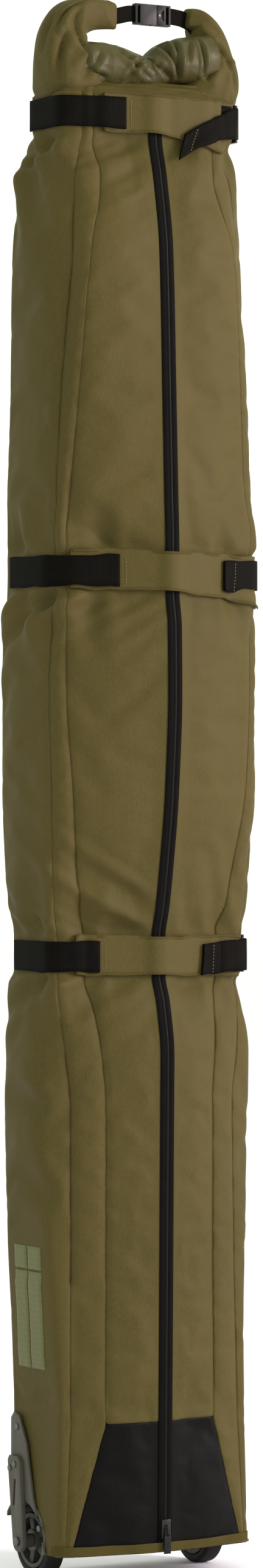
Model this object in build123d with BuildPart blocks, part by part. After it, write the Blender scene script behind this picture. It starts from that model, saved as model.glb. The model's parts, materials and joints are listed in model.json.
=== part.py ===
from build123d import *
import os
from math import hypot
from typing import NamedTuple

# A wheeled roll-top bag for a snowboard, standing upright: +Z runs up its length, the zipped front
# faces -Y and the stiff back faces +Y. The floor under the wheels is z = 0. All sizes are in mm.

os.makedirs("parts", exist_ok=True)

# ---- Driving dimensions of the fabric body ----
half_width = 138.0          # flat sides beside the wheels
back_y = 82.0               # outside of the back panel
ground_gap = 10.0           # the base hangs this far below the axles
toe_top = 196.0             # upper edge of the black toe panels
collar_top = 1866.0         # where the collar is rolled over
wall = 3.0                  # padded fabric
corner = 14.0               # width of the chamfer from side to back

# ---- Wheels ----
wheel_radius = 45.0
wheel_wide = 24.0
wheel_inset = 11.0          # from the flat side to a wheel's outer face
wheel_back = 44.0           # from the back to the axles
well_gap = 6.0
well_floor_gap = 11.0       # from a wheel's inner face to the inside face of its well
housing_wall = 3.0
strut_thick = 6.0
tyre_thick = 11.0
axle_radius = 3.9
bearing_outer = 11.0
bearing_bore = 4.0
bearing_wide = 7.0
nut_high = 5.0

wheel_y = back_y - wheel_back
wheel_out = half_width - wheel_inset
well_inner = wheel_out - wheel_wide - well_floor_gap
rim_radius = wheel_radius - tyre_thick
spoke_in = 8.0              # a spoke's ends, from the axle
spoke_out = rim_radius - 2
base_z = wheel_radius - ground_gap          # underside of the bag above the floor

# ---- Zipper ----
tape_half = 8.0             # visible half width of the two tapes together
tape_thick = 1.6
coil_half = 2.6
coil_high = 2.4
zip_foot = 72.0             # how far the zipper stands forward at its lower end
zip_head = 79.0             # and at the top of its straight lower stretch
zip_foot_z = base_z + 10
zip_head_z = 650.0
stop_z = base_z + 7               # underside of the lower stop
stop_long = 8.0
slider_z = base_z + 29      # middle of the closed slider
slider_long = 24.0
slider_half = 6.4
slider_gap = 0.5            # running clearance round the coil

# ---- Compression straps ----
strap_levels = {"upper": 1815.0, "middle": 1247.0, "lower": 772.0}
strap_ends = {"upper": 40.0, "middle": 65.0, "lower": 76.0}     # left end of each cover, from centre
strap_wide = 38.0
webbing = 2.0
skin = 1.0                  # one layer of the cover
cover_hem = 3.5             # how far a cover stands above and below its webbing
bar_radius = 1.6
anchor_bar_radius = 2.0
bar_pitch = 12.0
lock_rail = 4.0
clearance = 0.4


class Section(NamedTuple):
    """Half of one horizontal section of the bag: its height and the corners of its outline."""
    z: float
    crown: float            # front at the zipper, forward of centre
    seam_x: float           # seam from front panel to gusset
    seam_y: float
    edge_x: float           # seam from gusset to side panel
    edge_y: float
    side: float             # flat of the side, from centre
    side_y: float           # front end of that flat
    back: float             # outside of the back


def zip_line(z):
    """The zipper's straight lower stretch: how far forward it stands at a height."""
    return zip_foot + (zip_head - zip_foot) * (z - zip_foot_z) / (zip_head_z - zip_foot_z)


def strap_pair(name, *outline):
    """The two equal sections between which a strap lies, a little wider than its cover."""
    half = strap_wide / 2 + cover_hem + 1.5
    return [Section(strap_levels[name] - half, *outline), Section(strap_levels[name] + half, *outline)]


w = half_width
sections = [
    Section(base_z + wall, zip_line(base_z + wall), w - 16, -56, w - 8, -53, w, -46, back_y),
    Section(toe_top, zip_line(toe_top), w - 58, -66, w - 16, -53, w, -46, back_y),
    Section(256, zip_line(256), w - 58, -66, w - 16, -52, w, -44, back_y),
    Section(590, zip_line(590), w - 61, -61, w - 21, -42, w + 11, -22, back_y),
    Section(zip_head_z, zip_head, w - 56, -60, w - 14, -42, w + 9, -26, back_y),
    *strap_pair("lower", 57, w - 42, -42, w - 6, -35, w + 1, -28, back_y - 2),
    Section(880, 76, w - 25, -52, w + 4, -41, w + 11, -30, back_y),
    Section(975, 90, w - 13, -64, w + 10, -47, w + 15, -38, back_y),
    Section(1100, 98, w - 6, -59, w + 11, -42, w + 15, -32, back_y),
    *strap_pair("middle", 91, w - 8, -56, w + 4, -42, w + 9, -30, back_y),
    Section(1350, 88, w - 13, -58, w + 3, -46, w + 8, -38, back_y),
    Section(1457, 84, w - 20, -64, w - 3, -46, w + 4, -36, back_y),
    Section(1645, 76, w - 35, -70, w - 20, -48, w + 2, -22, back_y - 2),
    Section(1740, 60, w - 57, -56, w - 25, -45, w - 6, -20, back_y - 8),
    *strap_pair("upper", 48, w - 54, -46, w - 39, -42, w - 11, -32, back_y - 27),
]
neck = Section(collar_top, 30, w - 50, -29, w - 36, -28.5, w - 10, -28, back_y - 34)


# ---- Outline helpers ----
def half_outline(s):
    """The right half of a section's outside, from the zipper's edge round to the back."""
    return [
        (tape_half, -s.crown), (s.seam_x, s.seam_y), (s.edge_x, s.edge_y), (s.side, s.side_y),
        (s.side, s.back - corner), (s.side - corner, s.back), (0, s.back),
    ]


def moved(points, distance):
    """A polyline moved sideways by a distance, with mitred corners: outwards on a right half."""
    shifted = []
    for i, (x, y) in enumerate(points):
        before = points[max(i - 1, 0)], points[max(i, 1)]
        after = points[min(i, len(points) - 2)], points[min(i + 1, len(points) - 1)]
        normals = []
        for (x0, y0), (x1, y1) in (before, after):
            long = hypot(x1 - x0, y1 - y0)
            normals.append(((y1 - y0) / long, (x0 - x1) / long))
        (ax, ay), (bx, by) = normals
        scale = distance / (1 + ax * bx + ay * by)
        shifted.append((x + (ax + bx) * scale, y + (ay + by) * scale))
    return shifted


def strip(points, near, far):
    """The closed outline between a polyline moved by near and the same one moved by far."""
    return moved(points, far) + moved(points, near)[::-1]


def at_height(z):
    """The section at a height, between the two nearest of the list."""
    for low, high in zip(sections, sections[1:]):
        if low.z <= z <= high.z:
            t = (z - low.z) / (high.z - low.z)
            return Section(*(a + (b - a) * t for a, b in zip(low, high)))
    return sections[-1]


def outlined(plane, points):
    """A face inside a closed polyline on a plane."""
    with BuildSketch(plane) as face:
        with BuildLine():
            Polyline(*points, close=True)
        make_face()
    return face.sketch


def lofted(outlines, sign=1, mode=Mode.ADD):
    """Ruled fabric through closed outlines, given as (height, points) on the right-hand side."""
    faces = [outlined(Plane.XY.offset(z), [(sign * x, y) for x, y in points]) for z, points in outlines]
    loft([face.face() for face in faces], ruled=True, mode=mode)


def mirrored(points):
    """A right half outline, from front centre to back centre, closed by its mirror image."""
    return [*points, *[(-x, y) for x, y in points[::-1] if x > 0]]


def fabric(first, last, levels):
    """Outlines of a panel that spans corners first to last of each section."""
    rows = []
    for s in levels:
        outside = half_outline(s)
        inside = moved(outside, -wall)
        inside[0] = (tape_half, -s.crown + wall)
        inside[-1] = (0, s.back - wall)
        rows.append((s.z, outside[first:last + 1] + inside[first:last + 1][::-1]))
    return rows


def save(part, name):
    part.label = name
    export_step(part, f"parts/{name}.step")


sides = {"left": -1, "right": 1}

# ---- Wheel wells: the space that the housings take out of the bag's lower back corners ----
well_radius = wheel_radius + well_gap
shell_radius = well_radius + housing_wall


def well_profile(x, radius, low=base_z):
    """The arch round a wheel, on the upright plane at x, open below from a given height."""
    with BuildSketch(Plane.YZ.offset(x)) as arch:
        with BuildLine():
            Polyline(
                (wheel_y + radius, wheel_radius), (wheel_y + radius, low),
                (wheel_y - radius, low), (wheel_y - radius, wheel_radius),
            )
            RadiusArc((wheel_y - radius, wheel_radius), (wheel_y + radius, wheel_radius), radius)
        make_face()
    return arch.sketch


def cut_well(sign, room=0.0):
    """Take the housing's outer shape, and some room inside it, out of the piece being made."""
    arch = well_profile(sign * (well_inner - housing_wall - room), shell_radius, base_z - 1)
    extrude(arch, amount=sign * 100, mode=Mode.SUBTRACT)


# ---- Sewn fabric panels ----
toe_levels = sections[:2]
front_levels = sections[1:]
for side, sign in sides.items():
    with BuildPart() as toe_panel:
        lofted(fabric(0, 1, toe_levels), sign)
    save(toe_panel.part, f"{side}_toe_panel")

    with BuildPart() as front_panel:
        lofted(fabric(0, 1, front_levels), sign)
    save(front_panel.part, f"{side}_front_panel")

    with BuildPart() as gusset:
        lofted(fabric(1, 2, sections), sign)
    save(gusset.part, f"{side}_gusset")

    with BuildPart() as side_panel:
        lofted(fabric(2, 5, sections), sign)
        cut_well(sign)
    save(side_panel.part, f"{side}_side_panel")

with BuildPart() as back_panel:
    levels = []
    for s in sections:
        levels.append((s.z, [
            (corner - s.side, s.back), (s.side - corner, s.back),
            *[p for p in moved(half_outline(s), -wall)[5:6]],
            *[(-x, y) for x, y in moved(half_outline(s), -wall)[5:6]],
        ]))
    lofted(levels)
    for sign in sides.values():
        cut_well(sign)
save(back_panel.part, "back_panel")

with BuildPart() as base_panel:
    extrude(outlined(Plane.XY.offset(base_z), mirrored(half_outline(sections[0]))), amount=wall)
    for sign in sides.values():
        cut_well(sign)
save(base_panel.part, "base_panel")

# ---- Stiffeners inside: a board across the base and one up the back ----
board = 2.5
with BuildPart() as base_board:
    inside = moved(half_outline(sections[0]), -wall - clearance)
    extrude(outlined(Plane.XY.offset(base_z + wall), mirrored(inside)), amount=board)
    for sign in sides.values():
        cut_well(sign, nut_high + 1)
save(base_board.part, "base_board")

back_board_half = 84.0
back_board_top = 1560.0
with BuildPart() as back_board:
    levels = []
    for s in [s for s in sections if s.z < back_board_top] + [at_height(back_board_top)]:
        low = base_z + wall + board if s is sections[0] else s.z
        face = s.back - wall
        levels.append((low, [
            (-back_board_half, face), (back_board_half, face),
            (back_board_half, face - board), (-back_board_half, face - board),
        ]))
    lofted(levels)
save(back_board.part, "back_board")

# ---- Rolled top: a flattened collar, its roll, and the two ends that are pulled up ----
with BuildPart() as collar:
    for inset, mode in ((0.0, Mode.ADD), (wall, Mode.SUBTRACT)):
        rings = [(s.z, mirrored(moved(half_outline(s), -inset))) for s in (sections[-1], neck)]
        lofted(rings, mode=mode)
save(collar.part, "collar")

roll_radius = 17.0
roll_y = 6.0
roll_points = [(44 - neck.side, 1922), (-44, 1899), (6, 1879), (46, 1900), (neck.side - 34, 1920)]
with BuildPart() as rolled_closure:
    with BuildLine() as roll_path:
        FilletPolyline(*[(x, roll_y, z) for x, z in roll_points], radius=30)
    with BuildSketch(Plane(roll_path.line @ 0, z_dir=roll_path.line % 0)):
        Circle(roll_radius)
    sweep()
    split(bisect_by=Plane.XY.offset(collar_top), keep=Keep.TOP)
save(rolled_closure.part, "rolled_closure")

# ---- Loop over the roll: a side-release buckle between two lengths of webbing ----
loop_wide = 20.0
tab_left = -30.0            # where the left roll end becomes webbing
tab_right = 84.0
buckle_z = 1948.0
buckle_left = 1.0
buckle_right = 52.0
buckle_thick = 9.0
buckle_wide = 26.0
horn_thick = 26.0
horn_outlines = {
    "left": [
        (2 - neck.side, collar_top), (3 - neck.side, 1895), (24 - neck.side, 1925),
        (44 - neck.side, 1950), (-62, 1958), (tab_left, 1954), (tab_left, 1926), (-46, 1916),
        (-60, 1890), (38 - neck.side, collar_top),
    ],
    "right": [
        (neck.side - 36, collar_top), (neck.side - 40, 1900), (tab_right, 1924), (tab_right, 1957),
        (94, 1958), (neck.side - 22, 1945), (neck.side - 8, 1915), (neck.side - 1, 1890),
        (neck.side - 2, collar_top),
    ],
}
for side, outline in horn_outlines.items():
    with BuildPart() as roll_end:
        extrude(outlined(Plane.XZ.offset(-roll_y - horn_thick / 2), outline), amount=horn_thick)
        add(rolled_closure.part, mode=Mode.SUBTRACT)
    save(roll_end.part, f"{side}_roll_end")


def on_edge(points, thick, mode=Mode.ADD):
    """A plate of a given thickness, centred on the loop, with an outline in the XZ plane."""
    extrude(outlined(Plane.XZ.offset(-roll_y - thick / 2), points), amount=thick, mode=mode)


def block(left, right, half_high, thick, mode=Mode.ADD, z=buckle_z):
    """A rectangular plate in the loop: from left to right, half_high above and below a height."""
    on_edge([(left, z - half_high), (right, z - half_high), (right, z + half_high),
             (left, z + half_high)], thick, mode)


bar = 3.0                   # rim outside each webbing slot of the buckle
slot = 4.0
split_x = 32.0              # where the female half ends
prong_thick = 5.0
prong_gap = 0.4
prong_long = 20.0
prong_z = 7.4               # each prong's middle above or below the buckle's middle
prong_half = 1.2
button_out = 12.6
shell = 1.6

left_tab_z = 1941.0
right_tab_z = 1946.0
for side, points in {
    "left": [(tab_left, left_tab_z), (tab_left + 6, left_tab_z), (buckle_left - 6, buckle_z),
             (buckle_left + bar + slot / 2, buckle_z)],
    "right": [(buckle_right - bar - slot / 2, buckle_z), (buckle_right + 6, buckle_z),
              (tab_right - 6, right_tab_z), (tab_right, right_tab_z)],
}.items():
    with BuildPart() as loop_webbing:
        on_edge(strip(points, -loop_wide / 2, loop_wide / 2), webbing)
    save(loop_webbing.part, f"{side}_loop_webbing")

with BuildPart() as buckle_female:
    block(buckle_left, split_x, buckle_wide / 2, buckle_thick)
    block(buckle_left + bar, buckle_left + bar + slot, loop_wide / 2 + 1, buckle_thick, Mode.SUBTRACT)
    block(0, buckle_left + bar + 1, loop_wide / 2 + 1, webbing + 2 * clearance, Mode.SUBTRACT)
    cavity = buckle_left + bar + slot + bar - 0.5
    block(cavity, split_x, buckle_wide / 2 - shell, prong_thick + 1, Mode.SUBTRACT)
    block(cavity + 1, split_x - 5, buckle_wide, prong_thick + 1, Mode.SUBTRACT)
save(buckle_female.part, "buckle_female")

with BuildPart() as buckle_male:
    block(split_x + prong_gap, buckle_right, buckle_wide / 2, buckle_thick)
    block(buckle_right - bar - slot, buckle_right - bar, loop_wide / 2 + 1, buckle_thick, Mode.SUBTRACT)
    block(buckle_right - bar - 1, 90, loop_wide / 2 + 1, webbing + 2 * clearance, Mode.SUBTRACT)
    window = split_x + 3.5
    on_edge([(window, buckle_z), (buckle_right - 2 * bar - slot, buckle_z - 7),
             (buckle_right - 2 * bar - slot, buckle_z + 7)], buckle_thick, Mode.SUBTRACT)
    block(split_x - prong_long + 4, split_x + 1, 1.4, prong_thick - 1)
save(buckle_male.part, "buckle_male")

for level, up in {"upper": 1, "lower": -1}.items():
    with BuildPart() as prong:
        root = split_x - 0.1
        block(root - prong_long, root, prong_half, prong_thick, z=buckle_z + up * prong_z)
        low, high = sorted((up * prong_z, up * button_out))
        block(root - prong_long + 2, root - prong_long + 12, (high - low) / 2, prong_thick,
              z=buckle_z + (low + high) / 2)
    save(prong.part, f"buckle_{level}_prong")

# ---- Zipper: two tapes, the coil between them, its stops, the slider and its pull ----
for side, sign in sides.items():
    with BuildPart() as tape:
        lofted([(s.z, [(0, -s.crown), (tape_half, -s.crown), (tape_half, tape_thick - s.crown),
                       (0, tape_thick - s.crown)]) for s in sections], sign)
    save(tape.part, f"{side}_zip_tape")


def on_zip(low, high, half, near, far):
    """A bar that follows the zipper between two heights, standing from near to far in front of it."""
    levels = [at_height(low), *[s for s in sections if low < s.z < high], at_height(high)]
    lofted([(s.z, [(-half, -s.crown - far), (half, -s.crown - far), (half, -s.crown - near),
                   (-half, -s.crown - near)]) for s in levels])


top_z = sections[-1].z
with BuildPart() as zip_coil:
    on_zip(stop_z + stop_long, top_z - stop_long, coil_half, 0, coil_high)
save(zip_coil.part, "zip_coil")

with BuildPart() as zip_stops:
    on_zip(stop_z, stop_z + stop_long, coil_half + 1.5, 0, coil_high + 0.6)
    on_zip(top_z - stop_long, top_z, coil_half + 1.5, 0, coil_high + 0.6)
save(zip_stops.part, "zip_stops")

pin_out = 7.1               # the pull's pin, in front of the tape
pull_long = 30.0
pull_half = 4.6
bail_half = 1.2
across_zip = Plane(
    origin=(0, -zip_line(slider_z), slider_z), x_dir=(1, 0, 0),
    z_dir=(0, zip_foot - zip_head, zip_head_z - zip_foot_z),
)


def slider_block(x, near, far, low, high, mode=Mode.ADD, left=None):
    """A block on the slider: to x either side, near to far in front of the tape, low to high."""
    left = -x if left is None else left
    outline = [(left, -far), (x, -far), (x, -near), (left, -near)]
    extrude(outlined(across_zip.offset(low), outline), amount=high - low, mode=mode)


with BuildPart() as zip_slider:
    plate = coil_high + slider_gap
    slider_block(slider_half, slider_gap, plate + 1.8, -slider_long / 2, slider_long / 2)
    slider_block(coil_half + slider_gap, 0, plate, -slider_long, slider_long, Mode.SUBTRACT)
    slider_block(bail_half, plate + 1.7, 9.5, -6, 6)
    slider_block(bail_half, plate + 3, 8.3, -4.6, 4.6, Mode.SUBTRACT)
save(zip_slider.part, "zip_slider")

with BuildPart() as zip_pull:
    slider_block(pull_half, pin_out - 0.9, pin_out + 0.9, -pull_long, -8)
    for sign in sides.values():
        arm = sorted((sign * (bail_half + 0.8), sign * 3.6))
        slider_block(arm[1], pin_out - 0.9, pin_out + 0.9, -9, 1, left=arm[0])
    slider_block(bail_half + 1, pin_out - 0.7, pin_out + 0.7, -0.7, 0.7)
save(zip_pull.part, "zip_pull")

# ---- Compression straps: webbing sewn to the left side, a cover over the zipper, and a ladder
# lock on a short anchor at the right, with the strap's tail laid back over the front ----
bump = coil_high + 1.2      # room that a cover leaves over the coil
bump_half = tape_half + 1
sewn = 24.0                 # length of webbing sewn down at each end
lock_back = 34.0            # from the front end of the side flat to the lock's anchor bar
anchor_out = anchor_bar_radius + clearance + webbing    # bar's middle, out from the fabric
lock_half_high = strap_wide / 2 + clearance + lock_rail


def front_point(s, x):
    """A point on the front of a section, at x from the zipper."""
    t = max(0.0, (abs(x) - tape_half) / (s.seam_x - tape_half))
    return x, -s.crown + t * (s.seam_y + s.crown)


def cover_path(s, end_x):
    """The line under a cover: from its left end over the zipper to the middle of the gusset."""
    over = [(x, front_point(s, x)[1] - bump) for x in (-tape_half, tape_half)]
    return [
        front_point(s, -end_x), front_point(s, -bump_half - bump), over[0], over[1],
        front_point(s, bump_half + bump), (s.seam_x, s.seam_y),
        ((s.seam_x + s.edge_x) / 2, (s.seam_y + s.edge_y) / 2),
    ]


for name, level in strap_levels.items():
    s = at_height(level)
    anchor_y = s.side_y + lock_back
    anchor_x = s.side + anchor_out
    bottom = Plane.XY.offset(level - strap_wide / 2)
    path = cover_path(s, strap_ends[name])
    lead = [*path, (s.edge_x, s.edge_y), (s.side, s.side_y), (s.side, anchor_y - 2 * bar_pitch - 4.5)]
    left = [
        (-s.side, anchor_y + sewn), (-s.side, s.side_y), (-s.edge_x, s.edge_y),
        (-s.seam_x, s.seam_y), front_point(s, -strap_ends[name]),
    ]

    with BuildPart() as strap:
        extrude(outlined(bottom, strip(left, 0, webbing)), amount=strap_wide)
        extrude(outlined(bottom, strip(lead, skin, skin + webbing)), amount=strap_wide)
    save(strap.part, f"{name}_strap")

    with BuildPart() as cover:
        extrude(outlined(bottom.offset(-cover_hem), strip(path, 0, 2 * skin + webbing)),
                amount=strap_wide + 2 * cover_hem)
        extrude(outlined(bottom, strip(path, skin, skin + webbing)), amount=strap_wide,
                mode=Mode.SUBTRACT)
    save(cover.part, f"{name}_strap_cover")

    with BuildPart() as anchor:
        hem = [(s.side, anchor_y), (s.side, anchor_y + sewn)]
        extrude(outlined(bottom, strip(hem, 0, 2 * webbing)), amount=strap_wide)
        with BuildSketch(bottom):
            with Locations((anchor_x, anchor_y)):
                Circle(anchor_out)
        extrude(amount=strap_wide)
        with BuildSketch(bottom):
            with Locations((anchor_x, anchor_y)):
                Circle(anchor_bar_radius + clearance)
        extrude(amount=strap_wide, mode=Mode.SUBTRACT)
    save(anchor.part, f"{name}_strap_anchor")

    with BuildPart() as lock:
        rails = Plane.XY.offset(level - lock_half_high)
        for rail in (rails, rails.offset(2 * lock_half_high - lock_rail)):
            with BuildSketch(rail):
                with Locations((anchor_x, anchor_y - bar_pitch)):
                    SlotOverall(2 * bar_pitch + 8, 6, rotation=90)
            extrude(amount=lock_rail)
        for i, radius in enumerate((anchor_bar_radius, bar_radius, bar_radius)):
            with BuildSketch(rails):
                with Locations((anchor_x, anchor_y - i * bar_pitch)):
                    Circle(radius)
            extrude(amount=2 * lock_half_high)
    save(lock.part, f"{name}_ladder_lock")

    # The tail comes from under the lock, round its middle bar, over its front bar and forward.
    wrap_y = anchor_y - bar_pitch
    near = bar_radius + clearance
    far = near + webbing
    out = anchor_x - s.side + near              # tail's inner face, out from the fabric
    tail_end = front_point(s, s.seam_x - 22)
    run = moved([tail_end, (s.seam_x, s.seam_y), (s.edge_x, s.edge_y), (s.side, s.side_y),
                 (s.side, wrap_y)], out)
    with BuildPart() as tail:
        extrude(outlined(bottom, strip(run, 0, webbing)), amount=strap_wide)
        under = [(anchor_x - near, wrap_y - bar_pitch - 4), (anchor_x - far, wrap_y - bar_pitch - 4),
                 (anchor_x - far, wrap_y), (anchor_x - near, wrap_y)]
        extrude(outlined(bottom, under), amount=strap_wide)
        with BuildSketch(bottom):
            with Locations((anchor_x, wrap_y)):
                Circle(far)
                Circle(near, mode=Mode.SUBTRACT)
            with Locations((anchor_x, wrap_y - far)):
                Rectangle(4 * far, 2 * far, mode=Mode.SUBTRACT)
        extrude(amount=strap_wide)
        hem = strip(run[:2], webbing, 2 * webbing)
        extrude(outlined(bottom, hem), amount=strap_wide)
    save(tail.part, f"{name}_strap_tail")

# ---- Wheel corners: moulded housing, outer strut, wheel and axle ----
plate_x = half_width + housing_wall         # outer face of the side plate
strut_x = plate_x + strut_thick
axle_z = wheel_radius
plate_outline = [
    (wheel_y + 28, base_z), (wheel_y + 28, 196), (wheel_y + 20, 204), (wheel_y + 8, 200),
    (wheel_y - 10, 168), (wheel_y - 28, 100), (wheel_y - 46, axle_z + 15), (wheel_y - 58, base_z),
]
plate_rivets = [(wheel_y + 12, 186), (wheel_y - 44, axle_z + 21)]
strut_screws = [(wheel_y + 8, 140), (wheel_y + 20, 134)]
strut_top = 150.0
strut_half = 13.0
head_radius = 4.0
shank_radius = 2.0
head_high = 1.6
for side, sign in sides.items():
    inner_plane = sign * (well_inner - housing_wall)
    with BuildPart() as housing:
        extrude(well_profile(inner_plane, shell_radius), amount=sign * (half_width - abs(inner_plane)))
        extrude(outlined(Plane.YZ.offset(sign * half_width), plate_outline), amount=sign * housing_wall)
        extrude(well_profile(sign * well_inner, well_radius, base_z - 1), amount=sign * 100,
                mode=Mode.SUBTRACT)
        with BuildSketch(Plane.YZ.offset(sign * well_inner)):
            with Locations((wheel_y, axle_z)):
                Circle(9)
        extrude(amount=sign * (wheel_out - wheel_wide - well_inner - 0.5))
        with BuildSketch(Plane.YZ.offset(inner_plane)):
            with Locations((wheel_y, axle_z)):
                Circle(axle_radius + 0.05)
        extrude(amount=sign * 60, mode=Mode.SUBTRACT)
        with BuildSketch(Plane.YZ.offset(sign * half_width)):
            with Locations(*plate_rivets, *strut_screws):
                Circle(shank_radius)
        extrude(amount=sign * housing_wall, mode=Mode.SUBTRACT)
        split(bisect_by=Plane.XZ.offset(-back_y), keep=Keep.TOP)
    save(housing.part, f"{side}_wheel_housing")

    with BuildPart() as strut:
        with BuildSketch(Plane.YZ.offset(sign * plate_x)):
            with BuildLine():
                Polyline((wheel_y - strut_half, axle_z), (wheel_y - 4, strut_top - 6),
                         (wheel_y + 2, strut_top), (wheel_y + 22, strut_top),
                         (wheel_y + 26, strut_top - 6), (wheel_y + strut_half, axle_z))
                RadiusArc((wheel_y + strut_half, axle_z), (wheel_y - strut_half, axle_z), strut_half)
            make_face()
            with Locations((wheel_y + 9, 105)):
                SlotOverall(34, 5, rotation=96, mode=Mode.SUBTRACT)
        extrude(amount=sign * strut_thick)
        with BuildSketch(Plane.YZ.offset(sign * plate_x)):
            with Locations((wheel_y, axle_z)):
                Circle(9)
        extrude(amount=-sign * (plate_x - wheel_out - 0.5))
        with BuildSketch(Plane.YZ.offset(sign * wheel_out)):
            with Locations((wheel_y, axle_z)):
                Circle(axle_radius + 0.05)
        extrude(amount=sign * 60, mode=Mode.SUBTRACT)
        with BuildSketch(Plane.YZ.offset(sign * plate_x)):
            with Locations(*strut_screws):
                Circle(shank_radius)
        extrude(amount=sign * strut_thick, mode=Mode.SUBTRACT)
    save(strut.part, f"{side}_wheel_strut")

    with BuildPart() as fasteners:
        for spots, seat in ((plate_rivets, plate_x), (strut_screws, strut_x)):
            with BuildSketch(Plane.YZ.offset(sign * seat)):
                with Locations(*spots):
                    Circle(head_radius)
            extrude(amount=sign * head_high)
            with BuildSketch(Plane.YZ.offset(sign * half_width)):
                with Locations(*spots):
                    Circle(shank_radius - 0.05)
            extrude(amount=sign * (seat - half_width))
    save(fasteners.part, f"{side}_housing_fasteners")

    wheel_mid = Plane.YZ.offset(sign * (wheel_out - wheel_wide))
    with BuildPart() as core:
        with BuildSketch(wheel_mid):
            with Locations((wheel_y, axle_z)):
                Circle(rim_radius)
                Circle(rim_radius - 5, mode=Mode.SUBTRACT)
        extrude(amount=sign * wheel_wide)
        with BuildSketch(wheel_mid.offset(sign * 4)):
            with Locations((wheel_y, axle_z)):
                with PolarLocations((spoke_in + spoke_out) / 2, 5):
                    Rectangle(spoke_out - spoke_in, 9)
        extrude(amount=sign * (wheel_wide - 8))
        with BuildSketch(wheel_mid):
            with Locations((wheel_y, axle_z)):
                Circle(bearing_outer + 3)
        extrude(amount=sign * wheel_wide)
        with BuildSketch(wheel_mid):
            with Locations((wheel_y, axle_z)):
                Circle(axle_radius + 1.2)
        extrude(amount=sign * wheel_wide, mode=Mode.SUBTRACT)
        for start in (0, wheel_wide - bearing_wide):
            with BuildSketch(wheel_mid.offset(sign * start)):
                with Locations((wheel_y, axle_z)):
                    Circle(bearing_outer + 0.05)
            extrude(amount=sign * bearing_wide, mode=Mode.SUBTRACT)
    save(core.part, f"{side}_wheel_core")

    with BuildPart() as tyre:
        with BuildSketch(Plane(origin=(0, wheel_y, axle_z), x_dir=(1, 0, 0), z_dir=(0, -1, 0))):
            with Locations((sign * (wheel_out - wheel_wide / 2), (rim_radius + wheel_radius) / 2)):
                RectangleRounded(wheel_wide, wheel_radius - rim_radius - 0.1, 4)
        revolve(axis=Axis((0, wheel_y, axle_z), (1, 0, 0)))
    save(tyre.part, f"{side}_tyre")

    with BuildPart() as bearings:
        for start in (0, wheel_wide - bearing_wide):
            with BuildSketch(wheel_mid.offset(sign * start)):
                with Locations((wheel_y, axle_z)):
                    Circle(bearing_outer)
                    Circle(bearing_bore, mode=Mode.SUBTRACT)
            extrude(amount=sign * bearing_wide)
    save(bearings.part, f"{side}_wheel_bearings")

    with BuildPart() as axle:
        with BuildSketch(Plane.YZ.offset(inner_plane)):
            with Locations((wheel_y, axle_z)):
                Circle(axle_radius)
        extrude(amount=sign * (strut_x - abs(inner_plane)))
        with BuildSketch(Plane.YZ.offset(sign * strut_x)):
            with Locations((wheel_y, axle_z)):
                RegularPolygon(6, 6)
        extrude(amount=sign * 3)
        with BuildSketch(Plane.YZ.offset(inner_plane)):
            with Locations((wheel_y, axle_z)):
                RegularPolygon(6.5, 6)
        extrude(amount=-sign * nut_high)
    save(axle.part, f"{side}_axle_bolt")

# ---- Bare grip patch sewn low on the left side ----
patch_front = -30.0
patch_back = 30.0
patch_low = 262.0
patch_high = 414.0
patch_thick = 1.0


def patch_edge(z):
    s = at_height(z)
    return [(-s.side - patch_thick, patch_front + 22), (-s.side, patch_front + 22),
            (-s.side, patch_back + 22), (-s.side - patch_thick, patch_back + 22)]


with BuildPart() as side_patch:
    lofted([(z, patch_edge(z)) for z in (patch_low, patch_high)])
save(side_patch.part, "side_patch")
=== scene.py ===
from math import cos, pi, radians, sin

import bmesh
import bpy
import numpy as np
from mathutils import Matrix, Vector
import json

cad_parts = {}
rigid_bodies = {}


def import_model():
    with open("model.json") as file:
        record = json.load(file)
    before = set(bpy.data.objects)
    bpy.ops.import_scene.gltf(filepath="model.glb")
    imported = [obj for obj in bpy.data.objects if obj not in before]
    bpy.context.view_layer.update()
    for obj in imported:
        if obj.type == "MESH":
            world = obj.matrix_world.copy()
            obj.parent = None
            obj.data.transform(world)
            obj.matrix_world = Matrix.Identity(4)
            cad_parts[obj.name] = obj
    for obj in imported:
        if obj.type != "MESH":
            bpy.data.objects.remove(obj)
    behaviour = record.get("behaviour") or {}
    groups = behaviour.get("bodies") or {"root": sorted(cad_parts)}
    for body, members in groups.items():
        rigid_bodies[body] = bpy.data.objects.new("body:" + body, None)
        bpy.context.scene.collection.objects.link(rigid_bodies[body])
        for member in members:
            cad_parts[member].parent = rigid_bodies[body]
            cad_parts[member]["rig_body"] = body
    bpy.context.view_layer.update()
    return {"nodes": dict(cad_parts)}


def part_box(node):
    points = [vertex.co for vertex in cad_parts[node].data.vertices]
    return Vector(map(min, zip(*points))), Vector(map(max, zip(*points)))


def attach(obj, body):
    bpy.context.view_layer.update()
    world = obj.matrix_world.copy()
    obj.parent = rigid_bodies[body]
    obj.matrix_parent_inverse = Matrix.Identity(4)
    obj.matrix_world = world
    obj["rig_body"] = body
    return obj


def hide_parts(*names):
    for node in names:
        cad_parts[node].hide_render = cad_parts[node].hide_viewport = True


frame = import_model()

# %% [markdown]
# # A wheeled roll-top snowboard bag
# The real bag is about two metres of padded cloth round a stiff back, with three compression straps,
# a long zipper, a rolled and buckled top and two wheel corners. The hard parts keep the shape of the
# frame's nodes and get softened edges. The cloth is modelled afresh, because a plain solid has none of
# the creases that make cloth look like cloth. Everything is in metres, in the frame's own axes.

MM = 0.001
rng = np.random.default_rng(7)


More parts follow.
